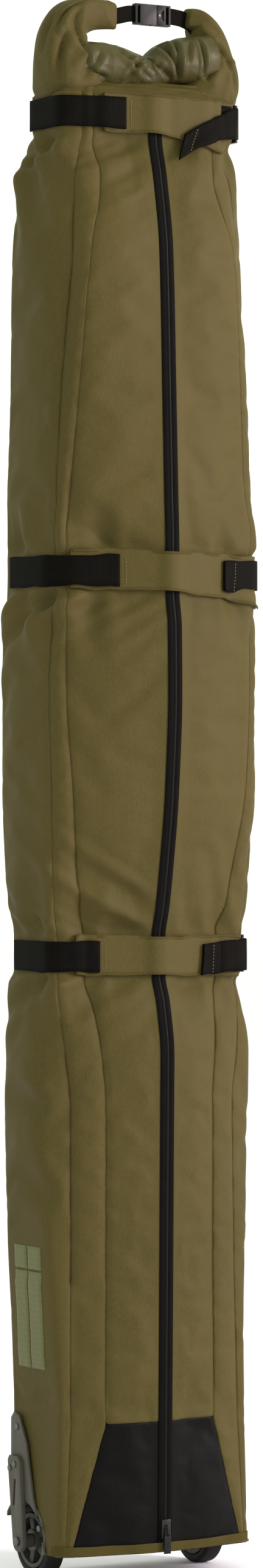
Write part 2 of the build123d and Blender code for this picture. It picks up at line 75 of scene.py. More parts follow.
def keep_mesh(name, bm, ride="bag", replaces=(), material=None):
    """Turn a bmesh into a finished piece that rides on a body."""
    mesh = bpy.data.meshes.new(name)
    bm.to_mesh(mesh)
    bm.free()
    piece = bpy.data.objects.new(name, mesh)
    bpy.context.scene.collection.objects.link(piece)
    for face in mesh.polygons:
        face.use_smooth = True
    if material:
        mesh.materials.append(material)
    if replaces:
        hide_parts(*replaces)
    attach(piece, ride)
    return piece


def modify(piece, kind, **values):
    """Add a modifier and set its values."""
    modifier = piece.modifiers.new(kind.title().replace("_", ""), kind)
    for key, value in values.items():
        setattr(modifier, key, value)


def travelled(points, axis=0):
    """Distance along each line of points from its start."""
    steps = np.linalg.norm(np.diff(points, axis=axis), axis=-1)
    start = np.zeros_like(np.take(steps, [0], axis=axis))
    return np.concatenate([start, np.cumsum(steps, axis=axis)], axis=axis)


def even_out(values, passes, axis=0):
    """Average each point with its neighbours along an axis, in place; the ends stay."""
    line = np.swapaxes(values, 0, axis)
    for _ in range(passes):
        line[1:-1] = (line[:-2] + 2 * line[1:-1] + line[2:]) / 4


# %% [markdown]
# ## Camera, floor and light
# A long lens far from the bag keeps its edges nearly parallel, as in a catalogue picture. The bag is
# seen from its front left at half its height. A pale floor and a pale world give soft light all
# round, and one large lamp at the right front makes the front lighter than the left side.

# %% Camera
VIEW_TURN = radians(30)      # the camera stands this far round to the bag's left
VIEW_FAR = 6.268
VIEW_HIGH = 0.985
VIEW_SIDE = -0.0049          # the bag stands a little right of the middle
away = Vector((-sin(VIEW_TURN), -cos(VIEW_TURN), 0))
rightwards = Vector((cos(VIEW_TURN), -sin(VIEW_TURN), 0))
lens = bpy.data.cameras.new("camera")
lens.lens = 115.2
lens.sensor_width = 36
lens.clip_end = 100
camera = bpy.data.objects.new("camera", lens)
camera.location = Vector((0, 0, VIEW_HIGH)) + away * VIEW_FAR + rightwards * VIEW_SIDE
camera.rotation_euler = (pi / 2, 0, -VIEW_TURN)
bpy.context.scene.collection.objects.link(camera)
bpy.context.scene.camera = camera
print("camera at", [round(x, 3) for x in camera.location])

# %% Floor and light
bm = bmesh.new()
bmesh.ops.create_grid(bm, x_segments=2, y_segments=2, size=20)
floor_mesh = bpy.data.meshes.new("floor")
bm.to_mesh(floor_mesh)
bm.free()
floor = bpy.data.objects.new("floor", floor_mesh)
bpy.context.scene.collection.objects.link(floor)
floor_finish = bpy.data.materials.new("floor")
floor_finish.use_nodes = True
floor_finish.node_tree.nodes["Principled BSDF"].inputs["Base Color"].default_value = (0.88, 0.85, 0.98, 1)
floor_finish.node_tree.nodes["Principled BSDF"].inputs["Roughness"].default_value = 0.9
floor_mesh.materials.append(floor_finish)

world = bpy.data.worlds.new("studio")
bpy.context.scene.world = world
world.use_nodes = True
world.node_tree.nodes["Background"].inputs["Color"].default_value = (0.95, 1.0, 0.84, 1)
world.node_tree.nodes["Background"].inputs["Strength"].default_value = 1.2
bpy.context.scene.view_settings.view_transform = "Standard"


def lamp(name, place, aim, size, power, colour):
    light = bpy.data.lights.new(name, "AREA")
    light.color = colour
    light.shape = "RECTANGLE"
    light.size, light.size_y = size
    light.energy = power
    holder = bpy.data.objects.new(name, light)
    holder.location = place
    direction = Vector(aim) - Vector(place)
    holder.rotation_euler = direction.to_track_quat("-Z", "Y").to_euler()
    bpy.context.scene.collection.objects.link(holder)


lamp("key_light", (3.2, -2.9, 2.2), (0, 0, 1.0), (1.2, 2.0), 230, (1.0, 0.84, 0.86))


# %% [markdown]
# ## Finishes
# Cloth is never one flat colour: a coated polyester has a fine weave, faint clouds of lighter and
# darker dye, and a sheen at grazing angles. Each finish below is a small node graph on the shader:
# noise in object coordinates for the clouds, and two crossed waves in the cloth's own UV map, which is
# laid out in metres, for the threads.

# %% Node helpers
class Finish:
    """A material whose nodes are added one by one."""

    def __init__(self, name, colour, roughness, **sockets):
        self.material = bpy.data.materials.new(name)
        self.material.use_nodes = True
        self.tree = self.material.node_tree
        self.shader = self.tree.nodes["Principled BSDF"]
        self.set(self.shader, **{"Base Color": (*colour, 1), "Roughness": roughness})
        for key, value in sockets.items():
            self.shader.inputs[key.replace("_", " ")].default_value = value
        self.height = None

    def set(self, node, **values):
        for key, value in values.items():
            node.inputs[key].default_value = value

    def node(self, kind, *links, **values):
        """A node; links are (input, output socket) pairs, values are inputs."""
        node = self.tree.nodes.new(kind)
        self.set(node, **values)
        for name, source in links:
            self.tree.links.new(source, node.inputs[name])
        return node

    def coordinates(self, kind="Object"):
        return self.node("ShaderNodeTexCoord").outputs[kind]

    def stretched(self, kind, scale):
        mapping = self.node("ShaderNodeMapping", ("Vector", self.coordinates(kind)))
        mapping.inputs["Scale"].default_value = scale
        return mapping.outputs["Vector"]

    def noise(self, scale, detail=3.0, kind="Object", stretch=(1, 1, 1), roughness=0.5):
        return self.node("ShaderNodeTexNoise", ("Vector", self.stretched(kind, stretch)),
                         **{"Scale": scale, "Detail": detail, "Roughness": roughness}).outputs["Fac"]

    def remap(self, source, low, high, to_low, to_high):
        node = self.node("ShaderNodeMapRange", ("Value", source),
                         **{"From Min": low, "From Max": high, "To Min": to_low, "To Max": to_high})
        return node.outputs["Result"]

    def blend_colour(self, factor, first, second):
        """Base colour between two colours by a factor; first may be a socket."""
        mix = self.tree.nodes.new("ShaderNodeMix")
        mix.data_type = "RGBA"
        self.tree.links.new(factor, mix.inputs["Factor"])
        for socket, value in ((mix.inputs[6], first), (mix.inputs[7], second)):
            if isinstance(value, tuple):
                socket.default_value = (*value, 1)
            else:
                self.tree.links.new(value, socket)
        return mix.outputs[2]

    def base(self, socket):
        self.tree.links.new(socket, self.shader.inputs["Base Color"])

    def rough(self, socket):
        self.tree.links.new(socket, self.shader.inputs["Roughness"])

    def relief(self, source, strength, distance):
        """Stack one more bump on the surface."""
        bump = self.node("ShaderNodeBump", ("Height", source),
                         **{"Strength": strength, "Distance": distance})
        if self.height:
            self.tree.links.new(self.height, bump.inputs["Normal"])
        self.height = bump.outputs["Normal"]
        self.tree.links.new(self.height, self.shader.inputs["Normal"])

    def threads(self, across, along):
        """Crossed threads in the UV map, as counts per metre; brightest where both stand up."""
        waves = []
        for direction, count in (("X", across), ("Y", along)):
            wave = self.node("ShaderNodeTexWave", ("Vector", self.coordinates("UV")),
                             **{"Scale": count / 20 * pi, "Distortion": 0.3, "Detail": 1.0})
            wave.bands_direction = direction
            waves.append(wave.outputs["Fac"])
        product = self.tree.nodes.new("ShaderNodeMath")
        product.operation = "MULTIPLY"
        self.tree.links.new(waves[0], product.inputs[0])
        self.tree.links.new(waves[1], product.inputs[1])
        return product.outputs[0]


def cloth_finish(name, dark, light, roughness, gloss, weave=900):
    """Coated woven cloth: clouds of dye, threads, and fine creases."""
    finish = Finish(name, light, roughness, Specular_IOR_Level=gloss)
    clouds = finish.noise(5.0, 4.0, stretch=(1.6, 1.6, 0.7))
    threads = finish.threads(weave, weave)
    cloud = finish.remap(clouds, 0.3, 0.7, 0.0, 1.0)
    grain = finish.noise(420.0, 2.0, stretch=(1, 1, 0.5))
    tone = finish.blend_colour(cloud, dark, light)
    worn = finish.blend_colour(finish.remap(grain, 0.35, 0.75, 0.0, 0.35), tone,
                               tuple(min(1.0, c * 1.45) for c in light))
    finish.base(finish.blend_colour(finish.remap(threads, 0.0, 1.0, 0.22, 0.0), worn,
                                    tuple(c * 0.5 for c in dark)))
    finish.rough(finish.remap(grain, 0.3, 0.8, roughness - 0.06, roughness + 0.1))
    finish.relief(finish.noise(26.0, 4.0, stretch=(1, 1, 0.45)), 0.35, 0.0022)
    finish.relief(grain, 0.3, 0.0003)
    finish.relief(threads, 0.7, 0.00012)
    return finish.material


# %% Cloth finishes
OLIVE = (0.076, 0.058, 0.0165)
OLIVE_DARK = (0.060, 0.048, 0.0125)
olive_cloth = cloth_finish("olive_cloth", OLIVE_DARK, OLIVE, 0.60, 0.10)
coated_cloth = cloth_finish("coated_cloth", (0.044, 0.038, 0.0105), (0.062, 0.054, 0.016), 0.44, 0.20)
toe_cloth = cloth_finish("toe_cloth", (0.0028, 0.0027, 0.0026), (0.0042, 0.0041, 0.0039), 0.5, 0.06)
patch_rubber = cloth_finish("patch_rubber", (0.095, 0.098, 0.036), (0.112, 0.114, 0.045), 0.5, 0.2,
                            weave=300)


def ribbed_finish(name, dark, light, ribs, roughness=0.7):
    """Webbing: ribs across its width, each with a bright edge, and a faint twill."""
    finish = Finish(name, light, roughness, Specular_IOR_Level=0.05)
    rib = finish.node("ShaderNodeTexWave", ("Vector", finish.coordinates("UV")),
                      **{"Scale": ribs / 20 * pi, "Distortion": 0.4, "Detail": 1.0})
    rib.bands_direction = "X"
    twill = finish.threads(700, 1100)
    tone = finish.blend_colour(finish.remap(finish.noise(40.0), 0.3, 0.7, 0, 1), dark, light)
    finish.base(finish.blend_colour(finish.remap(twill, 0, 1, 0.3, 0.0), tone,
                                    tuple(c * 0.4 for c in dark)))
    finish.relief(rib.outputs["Fac"], 0.5, 0.0003)
    finish.relief(twill, 0.5, 0.00015)
    return finish.material


webbing_black = ribbed_finish("webbing_black", (0.0024, 0.0020, 0.0014), (0.0042, 0.0035, 0.0026), 560)
zip_tape_black = ribbed_finish("zip_tape_black", (0.0022, 0.0022, 0.0018), (0.0036, 0.0036, 0.0030), 900)
binding_olive = ribbed_finish("binding_olive", OLIVE_DARK, OLIVE, 620, 0.65)


RUBBED = 1.6                 # how much paler moulded parts are where they have rubbed


def moulded_finish(name, colour, roughness, speckle=0.0004, gloss=0.3, metallic=0.0):
    """Moulded plastic, rubber or coated metal: fine texture, soft clouds, paler where it has rubbed."""
    finish = Finish(name, colour, roughness, Specular_IOR_Level=gloss, Metallic=metallic)
    grain = finish.noise(900.0, 2.0)
    scuffs = finish.noise(55.0, 6.0, stretch=(1, 1, 0.4), roughness=0.7)
    finish.base(finish.blend_colour(finish.remap(scuffs, 0.56, 0.78, 0.0, 0.6), colour,
                                    tuple(min(1.0, c * RUBBED) for c in colour)))
    finish.rough(finish.remap(scuffs, 0.3, 0.8, roughness - 0.05, roughness + 0.12))
    finish.relief(grain, 0.35, speckle)
    finish.relief(scuffs, 0.12, 0.0006)
    return finish.material


# %% Hard finishes
housing_plastic = moulded_finish("housing_plastic", (0.060, 0.055, 0.043), 0.55)
wheel_plastic = moulded_finish("wheel_plastic", (0.035, 0.034, 0.029), 0.5)
buckle_plastic = moulded_finish("buckle_plastic", (0.0055, 0.0055, 0.0050), 0.42, 0.0002, 0.22)
coil_nylon = moulded_finish("coil_nylon", (0.0040, 0.0040, 0.0036), 0.5, 0.0001, 0.10)
tyre_rubber = moulded_finish("tyre_rubber", (0.0075, 0.0075, 0.0072), 0.6, gloss=0.15)
dark_metal = moulded_finish("dark_metal", (0.020, 0.020, 0.020), 0.35, 0.0001, metallic=0.6)
zinc = moulded_finish("zinc", (0.12, 0.12, 0.11), 0.45, 0.0001, metallic=0.9)
board_plastic = moulded_finish("board_plastic", (0.05, 0.05, 0.05), 0.5)
stitch_thread = moulded_finish("stitch_thread", (0.20, 0.165, 0.075), 0.6)
print("finishes", len(bpy.data.materials))

# %% [markdown]
# ## The sewn body
# The bag's outline is known at a few heights. Between them a smooth curve through the known values
# gives every other height, and round each ring the outline runs through the seams' corners. The
# cloth starts as a plain grid made by one operator, and each of its points is then laid on that
# outline. A grid keeps its rows and columns, so that folds, stitches and seams can be placed by them.

# %% Outline of the bag, in millimetres: one row for each known height
RINGS = np.array([
    # height, zipper, seam x, seam y, edge x, edge y, side, side front, back
    [38, 72, 122, -56, 130, -53, 138, -46, 82],
    [90, 72.6, 108.2, -59.3, 127.4, -53, 138, -46, 82],
    [140, 73.1, 94.9, -62.5, 124.8, -53, 138, -46, 82],
    [185, 73.5, 82.9, -65.3, 122.6, -53, 138, -46, 82],
    [196, 73.7, 80, -66, 122, -53, 138, -46, 82],
    [206, 73.8, 80, -66, 122, -53, 138, -46, 82],
    [256, 74.4, 80, -66, 122, -52, 138, -44, 82],
    [420, 76.3, 78, -63, 119, -47, 145, -32, 82],
    [590, 78.3, 77, -61, 117, -42, 149, -22, 82],
    [650, 79, 82, -60, 124, -42, 147, -26, 82],
    [715, 68, 91, -50, 131, -38, 141, -28, 81],
    [748, 57, 96, -42, 132, -35, 139, -28, 80],
    [796, 57, 96, -42, 132, -35, 139, -28, 80],
    [830, 66, 104, -47, 138, -38, 144, -29, 81],
    [880, 76, 113, -52, 142, -41, 149, -30, 82],
    [975, 90, 125, -64, 148, -47, 153, -38, 82],
    [1100, 98, 132, -59, 149, -42, 153, -32, 82],
    [1180, 97, 132, -58, 147, -42, 152, -31, 82],
    [1223, 91, 130, -56, 142, -42, 147, -30, 82],
    [1271, 91, 130, -56, 142, -42, 147, -30, 82],
    [1350, 88, 125, -58, 141, -46, 146, -38, 82],
    [1457, 84, 118, -64, 135, -46, 142, -36, 82],
    [1645, 76, 103, -70, 118, -48, 140, -22, 80],
    [1740, 60, 81, -56, 113, -45, 132, -20, 74],
    [1791, 48, 84, -46, 99, -42, 127, -32, 55],
    [1839, 48, 84, -46, 99, -42, 127, -32, 55],
], float)
RINGS[:, 1] *= -1
TAPE = 8.0                   # from the zipper's middle to the edge of its tape
CORNER = 14.0                # rounding of the two rear corners
STRAPS = {"upper": 1.815, "middle": 1.247, "lower": 0.772}      # heights of the straps, metres


def through(known, values, at):
    """A smooth curve through known values that doesn't overshoot them."""
    gap = np.diff(known)
    slope = np.diff(values) / gap
    tangent = np.zeros(len(known))
    same = slope[:-1] * slope[1:] > 0
    a, b = slope[:-1], slope[1:]
    with np.errstate(divide="ignore", invalid="ignore"):
        tangent[1:-1] = np.where(same, 2 * a * b / (a + b), 0)
    tangent[0], tangent[-1] = slope[0], slope[-1]
    i = np.clip(np.searchsorted(known, at) - 1, 0, len(known) - 2)
    t = np.clip((at - known[i]) / gap[i], 0, 1)
    return ((1 + 2 * t) * (1 - t) ** 2 * values[i] + t * (1 - t) ** 2 * gap[i] * tangent[i]
            + t * t * (3 - 2 * t) * values[i + 1] - t * t * (1 - t) * gap[i] * tangent[i + 1])


def corners(z):
    """The right half's seam corners at heights z, in mm: tape, seam, edge, side, back corner, back."""
    zip_y, sx, sy, ex, ey, w, wy, back = (through(RINGS[:, 0], RINGS[:, k], z) for k in range(1, 9))
    tape = np.full_like(z, TAPE)
    return [(tape, zip_y), (sx, sy), (ex, ey), (w, wy), (w, back - CORNER), (w - CORNER, back),
            (0 * z, back)]


def run(points, count, bulge):
    """Rows of points spread evenly along the lines through some corners, rounded inside."""
    xs, ys = (np.stack([p[k] for p in points], 1) for k in (0, 1))
    fine = 64
    t = np.linspace(0, len(points) - 1, fine * (len(points) - 1) + 1)
    i = np.minimum(t.astype(int), len(points) - 2)
    f = t - i
    x, y = (v[:, i] * (1 - f) + v[:, i + 1] * f for v in (xs, ys))
    for v in (x, y):
        even_out(v, 120, axis=1)
    long = np.concatenate([np.zeros((len(x), 1)), np.cumsum(np.hypot(np.diff(x), np.diff(y)), 1)], 1)
    want = np.linspace(0, 1, count)
    out = np.empty((len(x), count, 2))
    for r in range(len(x)):
        at = want * long[r, -1]
        out[r, :, 0] = np.interp(at, long[r], x[r])
        out[r, :, 1] = np.interp(at, long[r], y[r])
    step = np.gradient(out, axis=1)
    normal = np.stack([step[..., 1], -step[..., 0]], -1)
    normal /= np.maximum(np.linalg.norm(normal, axis=-1, keepdims=True), 1e-9)
    return out + normal * (bulge[:, None] * np.sin(want * pi))[..., None]


# %% Rows, columns and the whole ring
STEP = 6.0
BODY_LOW, BODY_TOP = 35.0, 1839.0
heights = np.linspace(BODY_LOW, BODY_TOP, int((BODY_TOP - BODY_LOW) / STEP) + 1)
known = corners(np.maximum(heights, 38.0))
PANELS = {"front": (0, 1, 17, 3.0), "gusset": (1, 2, 8, 1.5), "side": (2, 5, 24, 3.0),
          "back": (5, 6, 22, 1.0)}
free = np.clip((heights - 215) / 60, 0, 1)                 # no swelling beside wheels and straps
for level in STRAPS.values():
    free *= np.clip((np.abs(heights - level / MM) - 28) / 60, 0, 1)
half, bounds_of = [], {}
start = 0
for panel, (first, last, count, bulge) in PANELS.items():
    piece = run(known[first:last + 1], count, bulge * free)
    half.append(piece if not half else piece[:, 1:])
    bounds_of[panel] = (start, start + count - 1)
    start += count - 1
half = np.concatenate(half, 1)
HALF = half.shape[1]
ring = np.concatenate([half, (half * [-1, 1])[:, ::-1][:, 1:]], 1)      # right, back, then left
COLUMNS = ring.shape[1]
body = np.concatenate([ring, np.broadcast_to(heights[:, None, None], (*ring.shape[:2], 1))], 2) * MM
print("body grid", body.shape)


def columns(panel, side):
    """The first and last column of a panel, counted round the whole ring."""
    first, last = bounds_of[panel]
    if panel == "back":
        return first, COLUMNS - 1 - first
    return (first, last) if side == "right" else (COLUMNS - 1 - last, COLUMNS - 1 - first)


def normals(grid):
    """Outward unit normals of a grid of points, rows upwards and columns anticlockwise."""
    up, round_ = np.gradient(grid, axis=0), np.gradient(grid, axis=1)
    n = np.cross(round_, up)
    return n / np.maximum(np.linalg.norm(n, axis=-1, keepdims=True), 1e-12)


# %% [markdown]
# ## Folds
# Cloth that is drawn in by a strap has more length round it than it needs, and the spare length
# stands up as folds that fan out above and below the strap and die away. Sewn seams pull the cloth
# in. All of these are moves along the cloth's outward direction: smooth random waves for the small
# ones, and the largest placed one by one.

# %% Waves that repeat for a fixed seed
def wave_noise(s, z, length_s, length_z, count=14):
    """A smooth random field in two directions with given typical lengths, from -1 to 1."""
    total = np.zeros(np.broadcast(s, z).shape)
    for _ in range(count):
        a, b = rng.normal(0, 1 / length_s), rng.normal(0, 1 / length_z)
        total += np.cos(s * a * 2 + z * b * 2 + rng.uniform(0, 2 * pi))
    return total / np.sqrt(count) / 1.4


arc = travelled(body, axis=1)
zz = np.broadcast_to(heights[:, None] * MM, arc.shape)
BROAD, FINE, FAN = 0.0034, 0.0004, 0.0100        # how far each kind of fold stands out, metres
GRIP = 0.022                 # a strap presses the cloth this far above and below its middle
out = BROAD * wave_noise(arc, zz, 0.12, 0.24) + FINE * wave_noise(arc, zz, 0.04, 0.14)
for level in STRAPS.values():
    for up in (-1, 1):
        far = (zz - level) * up - GRIP
        reach = 0.055 + 0.03 * wave_noise(arc, 0 * zz, 0.06, 1.0)
        fan = wave_noise(arc * (1 + 1.5 * np.clip(far, 0, 0.2)) + 0.3 * far, 0 * zz, 0.030, 1.0, 20)
        fall = np.where(far > 0, np.exp(-(far / np.maximum(reach, 0.02)) ** 1.3)
                        * np.minimum(far / 0.010, 1), 0)
        out += FAN * fan * fall
seams = [columns(panel, side)[side == "right"]
         for side in ("left", "right") for panel in ("front", "gusset")]
seam_far = np.min([np.abs(arc - arc[:, c:c + 1]) for c in seams], axis=0)
FOLDS = [  # from the zipper, right positive, and height: where a fold starts, where it dies; depth, width
    (-0.200, 1.790, -0.150, 1.600, 0.0085, 0.013), (-0.160, 1.790, -0.125, 1.690, 0.0060, 0.010),
    (-0.250, 1.785, -0.240, 1.620, 0.0075, 0.013), (0.150, 1.790, 0.170, 1.700, 0.0060, 0.011),
    (-0.075, 1.275, -0.098, 1.335, 0.0050, 0.009), (-0.155, 1.273, -0.195, 1.370, 0.0080, 0.012),
    (-0.225, 1.273, -0.240, 1.350, 0.0060, 0.012), (0.078, 1.273, 0.098, 1.335, 0.0050, 0.010),
    (-0.092, 1.221, -0.116, 1.130, 0.0055, 0.011), (-0.160, 1.221, -0.150, 1.120, 0.0070, 0.011),
    (-0.205, 1.221, -0.225, 1.130, 0.0075, 0.012), (0.086, 1.221, 0.108, 1.150, 0.0050, 0.010),
    (-0.088, 0.797, -0.108, 0.870, 0.0035, 0.010), (-0.165, 0.797, -0.190, 0.900, 0.0065, 0.012),
    (-0.080, 0.746, -0.104, 0.690, 0.0035, 0.009), (-0.150, 0.746, -0.225, 0.650, 0.0080, 0.012),
    (-0.143, 0.745, -0.158, 0.630, 0.0055, 0.010), (-0.160, 0.590, -0.240, 0.606, 0.0050, 0.011),
    (0.080, 0.746, 0.100, 0.690, 0.0035, 0.009), (-0.150, 0.480, -0.210, 0.520, 0.0030, 0.014),
]
signed = np.where(arc < arc[:, -1:] / 2, arc, arc - arc[:, -1:])
strap_far = np.min([np.abs(zz - level) for level in STRAPS.values()], axis=0)
clear = np.clip((strap_far - 0.020) / 0.010, 0, 1)
for s0, z0, s1, z1, depth, width in FOLDS:
    run_s, run_z = s1 - s0, z1 - z0
    along = np.clip(((signed - s0) * run_s + (zz - z0) * run_z) / (run_s ** 2 + run_z ** 2), 0, 1)
    far = np.hypot(signed - s0 - along * run_s, zz - z0 - along * run_z) / (width * (1 + along))
    shape = 0.7 * np.exp(-((far - 1.9) / 0.9) ** 2) - np.exp(-far ** 2)
    out += clear * depth * (1 - along) ** 0.8 * shape
flat_back = np.clip((body[..., 1] - 0.06) / 0.02, 0, 1)
out *= 1 - 0.6 * flat_back
out = np.where(flat_back > 0.3, np.maximum(out, -0.0004), out)
zip_far = np.minimum(arc, arc[:, -1:] - arc)
out *= np.clip((zip_far - 0.003) / 0.025, 0, 1)
patch_near = np.exp(-(((zz - 0.338) / 0.10) ** 4)) * (body[..., 0] < -0.12)
out *= 1 - 0.85 * patch_near
body += normals(body) * out[..., None]

# %% [markdown]
# ## Settling the cloth
# The whole shell is one sheet, held fast at its seams, under its straps, along the zipper and at its
# two ends. The simulation gives it a little more cloth than its frame needs and a little air, so it
# buckles between the places where it is held, as a padded cover does. How far a point may move is
# capped, and the result is read back into the same rows and columns.

# %% Cloth simulation on a grid of points
def grid_mesh(name, points, uv=None):
    """A mesh of the grid operator's faces, laid on rows and columns of points."""
    rows, cols = points.shape[:2]
    bm = bmesh.new()
    bmesh.ops.create_grid(bm, x_segments=cols - 1, y_segments=rows - 1, size=0.5)
    cells = [(int(round((v.co.y + 0.5) * (rows - 1))), int(round((v.co.x + 0.5) * (cols - 1))))
             for v in bm.verts]
    for vert, cell in zip(bm.verts, cells):
        vert.co = points[cell]
    layer = bm.loops.layers.uv.new("UVMap")
    if uv is not None:
        for face in bm.faces:
            for loop in face.loops:
                loop[layer].uv = uv[cells[loop.vert.index]]
    return bm, cells


def settle(points, hold, spare, air, cap, frames=20):
    """Let a sheet of cloth buckle between the points that hold it."""
    bm, cells = grid_mesh("settling", points)
    bm.normal_update()
    mesh = bpy.data.meshes.new("settling")
    bm.to_mesh(mesh)
    bm.free()
    sheet = bpy.data.objects.new("settling", mesh)
    bpy.context.scene.collection.objects.link(sheet)
    group = sheet.vertex_groups.new(name="held")
    for k, cell in enumerate(cells):
        if hold[cell] > 0.01:
            group.add([k], float(hold[cell]), "REPLACE")
    cloth = sheet.modifiers.new("Cloth", "CLOTH")
    setting = cloth.settings
    setting.quality = 5
    setting.mass = 0.25
    setting.tension_stiffness = setting.compression_stiffness = 12
    setting.shear_stiffness = 6
    setting.bending_stiffness = 2.5
    setting.tension_damping = setting.compression_damping = setting.shear_damping = 8
    setting.bending_damping = 1
    setting.air_damping = 2
    setting.vertex_group_mass = "held"
    setting.pin_stiffness = 1
    setting.shrink_min = setting.shrink_max = -spare
    setting.use_pressure = True
    setting.uniform_pressure_force = air
    setting.effector_weights.gravity = 0
    cloth.point_cache.frame_start, cloth.point_cache.frame_end = 1, frames
    for frame_number in range(1, frames + 1):
        bpy.context.scene.frame_set(frame_number)
    ready = sheet.evaluated_get(bpy.context.evaluated_depsgraph_get()).to_mesh()
    moved = points.copy()
    for k, cell in enumerate(cells):
        moved[cell] = ready.vertices[k].co
    bpy.context.scene.frame_set(1)
    bpy.data.objects.remove(sheet)
    step = moved - points
    far = np.linalg.norm(step, axis=-1, keepdims=True)
    print("settled", points.shape[:2], "mean move mm", round(float(far.mean()) * 1000, 2),
          "largest", round(float(far.max()) * 1000, 1))
    return points + step * np.minimum(1, cap / np.maximum(far, 1e-9))


hold = np.exp(-(seam_far / 0.004) ** 2) * 0.92
hold = np.maximum(hold, flat_back * 0.9)
for level in STRAPS.values():
    hold = np.maximum(hold, np.clip(1.25 - np.abs(zz - level) / 0.026, 0, 1) ** 0.5)
hold[:, :3] = hold[:, -3:] = 1
hold = np.maximum(hold, 0.6 * patch_near)
hold[:2] = hold[-2:] = 1
wheel_corner = (zz < 0.215) & (np.abs(body[..., 0]) > 0.112) & (body[..., 1] > -0.035)
hold = np.maximum(hold, wheel_corner * 1.0)
SPARE, AIR, MOST = 0.008, 0.8, 0.008        # extra cloth as a share, air inside, largest move in metres
SEAM_DEEP, SEAM_WIDE = 0.0026, 0.0045
body = settle(body, hold, SPARE, AIR, MOST)
body -= normals(body) * (SEAM_DEEP * np.exp(-(seam_far / SEAM_WIDE) ** 2))[..., None]

# %% Distances round the bag, from the zipper's middle, positive to the right
loop_grid = np.concatenate([body[:, HALF - 1:], body[:, :HALF]], 1)
loop_out = normals(loop_grid)
loop_s = travelled(loop_grid, axis=1)
middle = COLUMNS - HALF
loop_s -= (loop_s[:, middle] + loop_s[:, middle + 1])[:, None] / 2


def around(s, z, lift=0.0):
    """Points on the cloth at distances s round the bag and heights z, lifted off it."""
    s, z, lift = np.broadcast_arrays(np.asarray(s, float), np.asarray(z, float), np.asarray(lift, float))
    row = np.clip((z / MM - BODY_LOW) / (BODY_TOP - BODY_LOW) * (len(heights) - 1), 0, len(heights) - 1)
    low = np.clip(row.astype(int), 0, len(heights) - 2)
    part = row - low
    spot = np.zeros((*s.shape, 3))
    way = np.zeros((*s.shape, 3))
    for index in np.ndindex(s.shape):
        for r, share in ((low[index], 1 - part[index]), (low[index] + 1, part[index])):
            at = np.interp(s[index], loop_s[r], np.arange(loop_s.shape[1]))
            c = min(int(at), loop_s.shape[1] - 2)
            f = at - c
            spot[index] += share * ((1 - f) * loop_grid[r, c] + f * loop_grid[r, c + 1])
            way[index] += share * ((1 - f) * loop_out[r, c] + f * loop_out[r, c + 1])
    way /= np.linalg.norm(way, axis=-1, keepdims=True)
    return spot + way * lift[..., None]


def corner_at(side, panel, z):
    """Distance round the bag to a panel's outer seam at a height."""
    row = int(np.argmin(np.abs(heights - z / MM)))
    column = bounds_of[panel][1]
    at = middle + 1 + column if side == "right" else middle - column
    return loop_s[row, at]


# %% Laying a grid of points as cloth
def metres(points):
    """UV of a grid of points in metres of cloth."""
    s, t = travelled(points, axis=1), travelled(points, axis=0)
    return np.stack([s - s[:, -1:] / 2, t], -1)


WELL_X = 0.089               # inner wall of a wheel's well
ARCH = 0.0545                # radius of the opening above it
AXLE = (0.038, 0.045)        # the axle's y and z


def open_wells(bm):
    """Cut the cloth round the wheel housings and draw its edge to theirs."""
    def inside(co, room=0.0):
        y, z = co.y - AXLE[0], co.z - AXLE[1]
        arch = (y * y + z * z) ** 0.5 if z > 0 else abs(y)
        return min(ARCH + room - arch, abs(co.x) + room - WELL_X)
    gone = [f for f in bm.faces if inside(f.calc_center_median()) > 0]
    bmesh.ops.delete(bm, geom=gone, context="FACES")
    for vert in bm.verts:
        if inside(vert.co, 0.004) > 0 and vert.is_boundary:
            if abs(vert.co.x) < 0.12:
                vert.co.x += (WELL_X - abs(vert.co.x)) * (1 if vert.co.x > 0 else -1) \
                    if abs(abs(vert.co.x) - WELL_X) < 0.004 else 0
            elif vert.co.z > AXLE[1]:
                y, z = vert.co.y - AXLE[0], vert.co.z - AXLE[1]
                grow = ARCH / max((y * y + z * z) ** 0.5, 0.001)
                vert.co.y, vert.co.z = AXLE[0] + y * grow, AXLE[1] + z * grow


def lay(name, points, ride="bag", slot=None, replaces=(), material=None, thick=0.0, subdivide=0,
        offset=-1.0, turn=False, wells=False):
    """A sheet of cloth laid on rows and columns of points, with a thickness."""
    uv = metres(points)
    bm, _ = grid_mesh(name, points, uv[..., ::-1] if turn else uv)
    if wells:
        open_wells(bm)
    bmesh.ops.remove_doubles(bm, verts=bm.verts, dist=1e-6)
    piece = keep_mesh(name, bm, ride, replaces, material)
    if subdivide:
        modify(piece, "SUBSURF", levels=subdivide, render_levels=subdivide)
    if thick:
        modify(piece, "SOLIDIFY", thickness=thick, offset=offset)
    return piece


# %% The panels
THIN = 0.0016                # thickness of a single cloth
WALL = {"slot": "olive_fabric", "material": olive_cloth, "thick": 0.0025}
CLOTH = {"slot": "olive_fabric", "material": olive_cloth, "thick": THIN, "subdivide": 1}
WEB = {"slot": "webbing", "material": webbing_black, "thick": 0.002, "offset": 0}
BINDING = {"slot": "olive_fabric", "material": binding_olive, "thick": 0.0014, "offset": 0}
toe_row = int(np.argmin(np.abs(heights - 196)))
for side in ("left", "right"):
    for panel, node in (("gusset", f"{side}_gusset"), ("side", f"{side}_side_panel")):
        a, b = columns(panel, side)
        lay(f"{node}_cloth", body[:, a:b + 1], replaces=(node,), subdivide=1, wells=panel == "side", **WALL)
    a, b = columns("front", side)
    lay(f"{side}_front_cloth", body[toe_row:, a:b + 1], replaces=(f"{side}_front_panel",), subdivide=1,
        **WALL)
    lay(f"{side}_toe_cloth", body[:toe_row + 1, a:b + 1], replaces=(f"{side}_toe_panel",), subdivide=1,
        **WALL | {"slot": "toe_fabric", "material": toe_cloth})
a, b = columns("back", "right")
